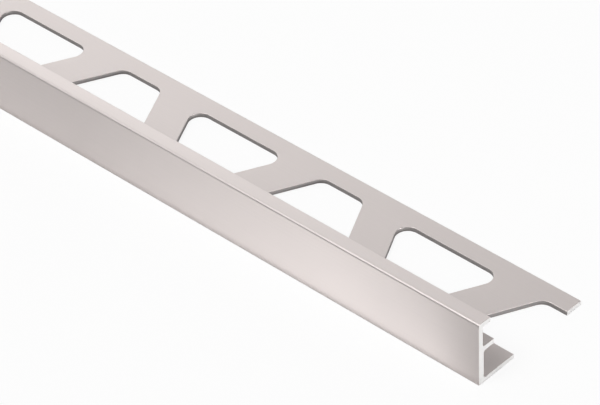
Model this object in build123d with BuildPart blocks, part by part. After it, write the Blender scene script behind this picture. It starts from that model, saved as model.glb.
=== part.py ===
"""Edge trim for tiled surfaces: one extruded strip with a punched anchoring leg.

The strip lies on its leg. X runs along the length, Y from the visible face
towards the leg's free edge, Z up. Sizes are in millimetres.
"""
import os

from build123d import *

os.makedirs("parts", exist_ok=True)

# The stock length, and the height that is chosen for the tile
length = 1830.0
height = 12.5

# The wall that shows beside the tile, a little thinner above the joint rib
wall = 1.2
upper_wall = 1.0

# The lip along the top of the wall
lip_reach = 2.8
lip_thickness = 0.95

# The rib that holds the tile off the wall by the width of the joint
rib_reach = 3.6
rib_top = 7.5
rib_thickness = 1.0

# The leg that lies in the adhesive under the tile
leg_reach = 25.2
leg_thickness = 0.9

# Corners that the extrusion die leaves
face_corner = 0.45
lower_corner = 0.1
edge_corner = 0.2
inside_corner = 0.45

# Punched holes: like trapezoids, every other one turned round.
# The saw cuts both ends of the strip through the middle of a hole.
hole_pairs = 38
hole_spacing = length / hole_pairs
hole_long_side = 22.8
hole_reach = 13.2
hole_side_angle = 63.0
hole_corner = 2.2
outer_strip = 3.6

face_y = -leg_reach / 2
hole_y = leg_reach / 2 - outer_strip - hole_reach / 2
low_at_face = (Align.MIN, Align.MIN)
high_at_face = (Align.MIN, Align.MAX)

# One hole, with its long side towards the wall
with BuildSketch() as hole:
    Trapezoid(hole_long_side, hole_reach, hole_side_angle)
    fillet(hole.vertices(), radius=hole_corner)

with BuildPart() as trim:
    # The extruded section, with the visible face at its left
    with BuildSketch(Plane.YZ) as section:
        with Locations((face_y, 0)):
            Rectangle(leg_reach, leg_thickness, align=low_at_face)
            Rectangle(wall, rib_top, align=low_at_face)
            Rectangle(upper_wall, height, align=low_at_face)
        with Locations((face_y, rib_top)):
            Rectangle(rib_reach, rib_thickness, align=high_at_face)
        with Locations((face_y, height)):
            Rectangle(lip_reach, lip_thickness, align=high_at_face)

        face_top, lip_tip = section.vertices().group_by(Axis.Y)[-1].sort_by(Axis.X)
        face_bottom = section.vertices().group_by(Axis.Y)[0].sort_by(Axis.X)[0]
        leg_tip = section.vertices().group_by(Axis.X)[-1]
        inside = [
            section.vertices().sort_by_distance(corner)[0]
            for corner in (
                (face_y + wall, leg_thickness),
                (face_y + wall, rib_top - rib_thickness),
                (face_y + upper_wall, rib_top),
                (face_y + upper_wall, height - lip_thickness),
            )
        ]
        fillet(inside, radius=inside_corner)
        fillet(face_top, radius=face_corner)
        fillet(face_bottom, radius=lower_corner)
        fillet([lip_tip] + leg_tip, radius=edge_corner)
    extrude(amount=length / 2, both=True)

    # The punched holes, those with the long side inwards first
    with BuildSketch(Plane.XY) as holes:
        with Locations((0, hole_y)):
            with GridLocations(hole_spacing, 0, hole_pairs + 1, 1):
                add(hole.sketch)
            with GridLocations(hole_spacing, 0, hole_pairs, 1):
                add(hole.sketch, rotation=180)
    extrude(amount=leg_thickness, mode=Mode.SUBTRACT)

trim.part.label = "edge_trim"
export_step(trim.part, "parts/edge_trim.step")
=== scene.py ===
from math import cos, pi, radians, sin, sqrt, tan

import bmesh
import bpy
from mathutils import Matrix, Vector


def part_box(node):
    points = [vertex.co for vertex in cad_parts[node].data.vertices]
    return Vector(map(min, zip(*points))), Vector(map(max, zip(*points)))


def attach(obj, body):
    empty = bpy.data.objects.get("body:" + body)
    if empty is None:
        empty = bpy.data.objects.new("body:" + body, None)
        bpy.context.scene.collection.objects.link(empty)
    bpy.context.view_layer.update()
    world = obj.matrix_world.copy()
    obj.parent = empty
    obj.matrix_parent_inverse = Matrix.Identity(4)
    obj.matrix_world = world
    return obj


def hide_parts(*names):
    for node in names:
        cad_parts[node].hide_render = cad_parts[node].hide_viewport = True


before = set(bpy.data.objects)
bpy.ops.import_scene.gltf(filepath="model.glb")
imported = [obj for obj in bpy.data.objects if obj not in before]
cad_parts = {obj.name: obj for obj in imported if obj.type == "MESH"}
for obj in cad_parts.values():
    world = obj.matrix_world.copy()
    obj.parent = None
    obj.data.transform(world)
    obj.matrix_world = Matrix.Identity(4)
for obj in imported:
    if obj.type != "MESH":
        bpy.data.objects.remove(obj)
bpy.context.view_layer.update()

# The trim is one aluminium extrusion that lies on its anchoring leg. A low wall carries a short lip along its
# top and a joint rib on its inside, and the thin leg is punched with trapezoid holes that are turned round
# one after the other. Both ends are sawn square through the middle of a hole.
mm = 0.001
low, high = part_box("edge_trim")
length = high.x - low.x
leg_thickness = 0.9 * mm
wall = 1.2 * mm
upper_wall = 1.0 * mm
lip_reach = 2.8 * mm
lip_thickness = 0.95 * mm
rib_reach = 3.6 * mm
rib_top = 7.5 * mm
rib_thickness = 1.0 * mm
face_corner = 0.45 * mm
lower_corner = 0.1 * mm
edge_corner = 0.2 * mm
inside_corner = 0.45 * mm
corner_steps = 8


def extruded_strip():
    """The strip before the punch: the corners of its section, rounded and drawn out along the length."""
    face = low.y
    bm = bmesh.new()
    corners = (
        (face, 0, lower_corner),
        (high.y, 0, edge_corner),
        (high.y, leg_thickness, edge_corner),
        (face + wall, leg_thickness, inside_corner),
        (face + wall, rib_top - rib_thickness, inside_corner),
        (face + rib_reach, rib_top - rib_thickness, 0),
        (face + rib_reach, rib_top, 0),
        (face + upper_wall, rib_top, inside_corner),
        (face + upper_wall, high.z - lip_thickness, inside_corner),
        (face + lip_reach, high.z - lip_thickness, 0),
        (face + lip_reach, high.z, edge_corner),
        (face, high.z, face_corner),
    )
    outline = [bm.verts.new((low.x, y, z)) for y, z, radius in corners]
    bm.faces.new(outline)
    radii = [radius for y, z, radius in corners]
    for corner, radius in zip(outline, radii):
        if radius > 0:
            bmesh.ops.bevel(bm, geom=[corner], offset=radius, segments=corner_steps, profile=0.5,
                            affect="VERTICES", material=-1)
    drawn = bmesh.ops.extrude_face_region(bm, geom=bm.faces[:])
    moved = [v for v in drawn["geom"] if isinstance(v, bmesh.types.BMVert)]
    bmesh.ops.translate(bm, verts=moved, vec=(length, 0, 0))
    bmesh.ops.recalc_face_normals(bm, faces=bm.faces)
    return bm


hole_pairs = 38
hole_spacing = length / hole_pairs
hole_long_side = 22.8 * mm
hole_reach = 13.2 * mm
hole_side_angle = radians(63)
hole_slope = 1 / tan(hole_side_angle)
hole_corner = 2.2 * mm
outer_strip = 3.6 * mm
hole_y = high.y - outer_strip - hole_reach / 2
punch_height = 4 * mm
round_steps = 40
flat_angle = radians(1)


def punch():
    """The punch for one hole, long side towards the wall: a skin stretched round four round posts."""
    bm = bmesh.new()
    side_inset = hole_corner * sqrt(1 + hole_slope**2)
    for from_long_side in (hole_corner, hole_reach - hole_corner):
        x = hole_long_side / 2 - hole_slope * from_long_side - side_inset
        for side in (-x, x):
            post = Matrix.Translation((side, from_long_side - hole_reach / 2, 0))
            bmesh.ops.create_cone(bm, cap_ends=True, segments=round_steps, radius1=hole_corner,
                                  radius2=hole_corner, depth=punch_height, matrix=post)
    hull = bmesh.ops.convex_hull(bm, input=bm.verts[:])
    inside = [g for g in hull["geom_interior"] + hull["geom_unused"] if isinstance(g, bmesh.types.BMVert)]
    bmesh.ops.delete(bm, geom=list(set(inside)), context="VERTS")
    bmesh.ops.dissolve_limit(bm, angle_limit=flat_angle, verts=bm.verts[:], edges=bm.edges[:])
    return bm


def punched_holes():
    """All the punches side by side, every other one turned round."""
    bm = bmesh.new()
    one = punch()
    shape = bpy.data.meshes.new("punch")
    one.to_mesh(shape)
    one.free()
    for place in range(2 * hole_pairs + 1):
        bm.from_mesh(shape)
        fresh = bm.verts[-len(shape.vertices):]
        turn = Matrix.Rotation(pi * (place % 2), 4, "Z")
        put = Matrix.Translation((high.x - place * hole_spacing / 2, hole_y, leg_thickness / 2))
        bmesh.ops.transform(bm, matrix=put @ turn, verts=fresh)
    bpy.data.meshes.remove(shape)
    return bm


def mesh_object(name, bm):
    """An object in the scene, made from a finished bmesh."""
    mesh = bpy.data.meshes.new(name)
    bm.to_mesh(mesh)
    bm.free()
    thing = bpy.data.objects.new(name, mesh)
    bpy.context.scene.collection.objects.link(thing)
    return thing


trim = mesh_object("punched_trim", extruded_strip())
punches = mesh_object("punches", punched_holes())
cut = trim.modifiers.new("punched", "BOOLEAN")
cut.operation = "DIFFERENCE"
cut.solver = "EXACT"
cut.object = punches
bpy.context.view_layer.update()
punched = bpy.data.meshes.new_from_object(trim.evaluated_get(bpy.context.evaluated_depsgraph_get()))
trim.modifiers.clear()
trim.data = punched
bpy.data.objects.remove(punches)


def new_node(tree, kind, inputs=None):
    """A new node, whose inputs, by name or number, take a value or what another node gives."""
    node = tree.nodes.new(kind)
    for name, value in (inputs or {}).items():
        if isinstance(value, bpy.types.NodeSocket):
            tree.links.new(value, node.inputs[name])
        else:
            node.inputs[name].default_value = value
    return node


line_detail = 3
line_strength = 0.5


def tool_lines(tree, scale):
    """Fine lines in the metal, stretched by the three scales, as a value from 0 to 1."""
    spot = new_node(tree, "ShaderNodeTexCoord").outputs["Object"]
    stretched = new_node(tree, "ShaderNodeMapping", {"Vector": spot, "Scale": scale}).outputs["Vector"]
    lines = new_node(tree, "ShaderNodeTexNoise", {"Vector": stretched, "Scale": 1, "Detail": line_detail})
    return lines.outputs["Fac"]


def aluminium(name, dark, pale, metallic, smooth, rough, line_scale, line_depth):
    """Aluminium whose tone, gloss and height follow the lines that its tool leaves."""
    material = bpy.data.materials.new(name)
    material.use_nodes = True
    tree = material.node_tree
    lines = tool_lines(tree, line_scale)
    tone = new_node(tree, "ShaderNodeMix", {0: lines, 6: dark + (1,), 7: pale + (1,)})
    tone.data_type = "RGBA"
    gloss = new_node(tree, "ShaderNodeMapRange", {"Value": lines, "To Min": smooth, "To Max": rough})
    relief = new_node(tree, "ShaderNodeBump",
                      {"Height": lines, "Distance": line_depth, "Strength": line_strength})
    shader = tree.nodes["Principled BSDF"]
    shader.inputs["Metallic"].default_value = metallic
    tree.links.new(tone.outputs[2], shader.inputs["Base Color"])
    tree.links.new(gloss.outputs["Result"], shader.inputs["Roughness"])
    tree.links.new(relief.outputs["Normal"], shader.inputs["Normal"])
    return material


# The die leaves fine lines along the strip, the saw across its ends and the punch down its walls. The visible
# face and lip are a little paler than the leg and the inside, whose darker copy of the skin is painted shade
# from the wall and lip. The sawn ends are paler still, and the walls of the holes are dark with painted
# shade.
drawn_along = (25, 6000, 6000)
sawn_across = (6000, 300, 6000)
punched_down = (6000, 6000, 300)
fine_line = 0.002 * mm
deep_line = 0.004 * mm
anodised_skin = aluminium("anodised_skin", (0.78, 0.715, 0.695), (0.82, 0.755, 0.735), metallic=0.6,
                          smooth=0.38, rough=0.46, line_scale=drawn_along, line_depth=fine_line)
sawn_end = aluminium("sawn_end", (0.89, 0.875, 0.86), (0.95, 0.94, 0.93), metallic=0.25,
                     smooth=0.4, rough=0.5, line_scale=sawn_across, line_depth=deep_line)
# The dark tone of the hole walls is painted shade
punched_wall_painted_shade = aluminium("punched_wall_painted_shade", (0.29, 0.27, 0.265), (0.39, 0.365, 0.357), metallic=0.6,
                         smooth=0.4, rough=0.55, line_scale=punched_down, line_depth=deep_line)
# The leg and the inside take a darker copy of the skin, which is painted shade from the wall and lip
leg_skin_painted_shade = aluminium("leg_skin_painted_shade", (0.7, 0.642, 0.624), (0.74, 0.68, 0.662), metallic=0.6,
                     smooth=0.4, rough=0.48, line_scale=drawn_along, line_depth=fine_line)
finishes_and_painted_shades = (anodised_skin, sawn_end, punched_wall_painted_shade, leg_skin_painted_shade)
for finish_or_shade in finishes_and_painted_shades:
    trim.data.materials.append(finish_or_shade)

# Every sharp edge is broken very slightly, so that it catches the light
weld_distance = 0.001 * mm
sharp_angle = radians(30)
edge_break = 0.07 * mm
square_to_length = 0.99
upright = 0.2


def finish_or_painted_shade_of(face):
    """The finish of one face of the mesh by its place on the trim and the way it points; the leg, the inside
    and the hole walls get copies darkened with painted shade.
    """
    middle = face.calc_center_median()
    at_an_end = min(middle.x - low.x, high.x - middle.x) < edge_break
    along_holes = abs(middle.y - hole_y) < hole_reach / 2 + edge_break
    if at_an_end and abs(face.normal.x) > square_to_length:
        return sawn_end
    if along_holes and 0 < middle.z < leg_thickness and abs(face.normal.z) < upright:
        return punched_wall_painted_shade
    if middle.y > low.y + lower_corner and middle.z < high.z - face_corner:
        return leg_skin_painted_shade
    return anodised_skin


bm = bmesh.new()
bm.from_mesh(trim.data)
bmesh.ops.remove_doubles(bm, verts=bm.verts[:], dist=weld_distance)
sharp = [e for e in bm.edges if e.is_manifold and e.calc_face_angle(0) > sharp_angle]
bmesh.ops.bevel(bm, geom=sharp, offset=edge_break, segments=2, profile=0.5, affect="EDGES", material=-1,
                clamp_overlap=True)
for face in bm.faces:
    face.smooth = True
    face.material_index = finishes_and_painted_shades.index(finish_or_painted_shade_of(face))
bm.to_mesh(trim.data)
bm.free()
weigh = trim.modifiers.new("flat faces", "WEIGHTED_NORMAL")
weigh.keep_sharp = True

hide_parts("edge_trim")
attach(trim, "root")

# The floor is a plain pale table top, nearly white for the camera, with a faint shadow. Only the metal sees a
# painted reflection on it: slanting bands in front of the face, palest 3 cm from the near end, which fade out
# a little further off, one plain tone behind the face, and a painted shadow right at the foot of the trim.
floor_reach = 6
floor_mesh = bmesh.new()
bmesh.ops.create_grid(floor_mesh, x_segments=1, y_segments=1, size=floor_reach)
floor = mesh_object("floor", floor_mesh)
floor_paint_and_painted_reflection = bpy.data.materials.new("floor_paint_and_painted_reflection")
floor_paint_and_painted_reflection.use_nodes = True
tree = floor_paint_and_painted_reflection.node_tree
tree.nodes.clear()


def math_step(tree, operation, *values):
    """What one step of arithmetic gives, on values or on what other nodes give."""
    step = new_node(tree, "ShaderNodeMath", dict(enumerate(values)))
    step.operation = operation
    return step.outputs[0]


def measured_along(tree, place, way):
    """How far a place lies along one way, or how well a direction agrees with it."""
    agreement = new_node(tree, "ShaderNodeVectorMath", {0: place, 1: way})
    agreement.operation = "DOT_PRODUCT"
    return agreement.outputs["Value"]


def fading(tree, value, start, end):
    """0 up to the start of the fade, 1 from its end on, and an even slope between them."""
    fade = {"Value": value, "From Min": start, "From Max": end}
    return new_node(tree, "ShaderNodeMapRange", fade).outputs["Result"]


def mixed(tree, share, first, second):
    """The first shader where the share is 0, the second where it is 1, and a blend of both between."""
    return new_node(tree, "ShaderNodeMixShader", {0: share, 1: first, 2: second}).outputs["Shader"]


spot = new_node(tree, "ShaderNodeTexCoord").outputs["Object"]
across = new_node(tree, "ShaderNodeSeparateXYZ", {"Vector": spot}).outputs["Y"]
path = new_node(tree, "ShaderNodeLightPath").outputs
for_camera = path["Is Camera Ray"]
in_metal = path["Is Glossy Ray"]

# The painted reflection's bands in front of the face, by how far from the near end they leave it
bands_reach = 100 * mm
near_end_tone = 0.22
painted_reflection_band_tones = ((8 * mm, 0.83), (29 * mm, 1.0), (90 * mm, 0.38))
near_corner = low.y - high.x
slantwise = measured_along(tree, spot, (-1, 1, 0))
from_near_end = fading(tree, slantwise, near_corner, near_corner + bands_reach)
painted_reflection_bands = new_node(tree, "ShaderNodeValToRGB", {"Fac": from_near_end})
stops = painted_reflection_bands.color_ramp.elements
stops.remove(stops[1])
stops[0].color = (near_end_tone, near_end_tone, near_end_tone, 1)
for distance_from_end, tone in painted_reflection_band_tones:
    stops.new(distance_from_end / bands_reach).color = (tone, tone, tone, 1)

# The painted reflection's plain tone behind the face, and the painted shadow at the foot
tone_behind = 0.45
changeover = 4 * mm
behind_face = fading(tree, across, low.y, low.y + changeover)
painted_reflection_tones = new_node(tree, "ShaderNodeMix", {0: behind_face, 2: painted_reflection_bands.outputs["Color"], 3: tone_behind})
foot_reach = 1 * mm
foot_depth = 4
open_to_room = new_node(tree, "ShaderNodeAmbientOcclusion", {"Distance": foot_reach}).outputs["AO"]
painted_foot_shadow = math_step(tree, "POWER", open_to_room, foot_depth)
painted_reflection_tone = math_step(tree, "MULTIPLY", painted_reflection_tones.outputs[0], painted_foot_shadow)
only_in_metal = math_step(tree, "MULTIPLY", painted_reflection_tone, in_metal)
painted_reflection = new_node(tree, "ShaderNodeEmission", {"Strength": only_in_metal}).outputs["Emission"]

# The paint is paler for the camera than in the light that it throws back
paint_in_light = 0.4
paint_for_camera = 0.9
paint_tone = math_step(tree, "MULTIPLY_ADD", for_camera, paint_for_camera - paint_in_light, paint_in_light)
paint = new_node(tree, "ShaderNodeBsdfDiffuse", {"Color": paint_tone}).outputs["BSDF"]
near_floor = new_node(tree, "ShaderNodeAddShader", {0: paint, 1: painted_reflection}).outputs["Shader"]

# Further in front the metal mirrors a painted black. The camera sees nine tenths plain white, so the shadow
# is faint.
fade_from = 20 * mm
fade_to = 45 * mm
painted_black = new_node(tree, "ShaderNodeEmission", {"Strength": 0}).outputs["Emission"]
far_off = fading(tree, across, low.y - fade_from, low.y - fade_to)
far_in_metal = math_step(tree, "MULTIPLY", far_off, in_metal)
floor_with_painted_reflection = mixed(tree, far_in_metal, near_floor, painted_black)
white_share = 0.9
white = new_node(tree, "ShaderNodeEmission").outputs["Emission"]
white_for_camera = math_step(tree, "MULTIPLY", for_camera, white_share)
new_node(tree, "ShaderNodeOutputMaterial", {"Surface": mixed(tree, white_for_camera, floor_with_painted_reflection, white)})
floor.data.materials.append(floor_paint_and_painted_reflection)

# The studio is a dim room with four large soft lights: one low behind the leg and one low beyond the far end,
# the strongest high in front of the visible face, and a weak broad one behind, for the sides that the camera
# doesn't see. The camera itself sees plain white.
world = bpy.data.worlds.new("studio")
bpy.context.scene.world = world
world.use_nodes = True
room = world.node_tree
room.nodes.clear()
direction = new_node(room, "ShaderNodeTexCoord").outputs["Generated"]


def glow(azimuth, elevation, narrowness, strength):
    """A soft light in the room, brightest in one direction, which is counted from +X towards +Y and up."""
    flat = cos(radians(elevation))
    towards = (cos(radians(azimuth)) * flat, sin(radians(azimuth)) * flat, sin(radians(elevation)))
    ahead = math_step(room, "MAXIMUM", measured_along(room, direction, towards), 0)
    narrowed = math_step(room, "POWER", ahead, narrowness)
    return math_step(room, "MULTIPLY", narrowed, strength)


dim_room = 0.01
brightness = dim_room
for light in (glow(141, 25, 30, 3.1), glow(190, 26, 30, 2.5), glow(257, 60, 32, 12.8), glow(75, 15, 10, 0.9)):
    brightness = math_step(room, "ADD", brightness, light)
lit_room = new_node(room, "ShaderNodeBackground", {"Color": brightness}).outputs["Background"]
plain_white = new_node(room, "ShaderNodeBackground", {"Color": (1, 1, 1, 1)}).outputs["Background"]
to_camera = new_node(room, "ShaderNodeLightPath").outputs["Is Camera Ray"]
new_node(room, "ShaderNodeOutputWorld", {"Surface": mixed(room, to_camera, lit_room, plain_white)})

# A small soft lamp, 12 cm wide and 2 cm high, stands 40 cm beyond the near end and lights the sawn metal
# there. It shines in a narrow beam, so that it adds little to the rest, and the camera doesn't see it.
end_lamp = bpy.data.lights.new("end", "AREA")
end_lamp.shape = "RECTANGLE"
end_lamp.size = 120 * mm
end_lamp.size_y = 20 * mm
end_lamp.energy = 0.021
end_lamp.spread = radians(20)
lamp_place = Vector((high.x + 400 * mm, 0, 20 * mm))
sawn_middle = Vector((high.x, 0, 6 * mm))
lamp_stand = bpy.data.objects.new("end", end_lamp)
lamp_stand.location = lamp_place
lamp_stand.rotation_euler = (lamp_place - sawn_middle).to_track_quat("Z", "Y").to_euler()
lamp_stand.visible_camera = False
bpy.context.scene.collection.objects.link(lamp_stand)

# The camera stands as in the photograph, half a metre off, in front of the visible face and the near end. It
# looks along the trim at 45 degrees and down at 39, through a long lens, with its top leaning a little right.
view_azimuth = radians(45.0)
view_elevation = radians(39.1)
view_roll = radians(-3.05)
aim = Vector((high.x - 46.9 * mm, low.y + 9.8 * mm, 6 * mm))
distance = 478.6 * mm
lens = bpy.data.cameras.new("camera")
lens.lens = 174.35
lens.sensor_width = 36
lens.clip_start = 10 * mm
camera = bpy.data.objects.new("camera", lens)
turned = (Matrix.Rotation(view_azimuth, 4, "Z") @ Matrix.Rotation(pi / 2 - view_elevation, 4, "X")
          @ Matrix.Rotation(view_roll, 4, "Z"))
camera.matrix_world = Matrix.Translation(aim + turned.to_3x3() @ Vector((0, 0, distance))) @ turned
bpy.context.scene.collection.objects.link(camera)
bpy.context.scene.camera = camera
bpy.context.scene.view_settings.view_transform = "Standard"
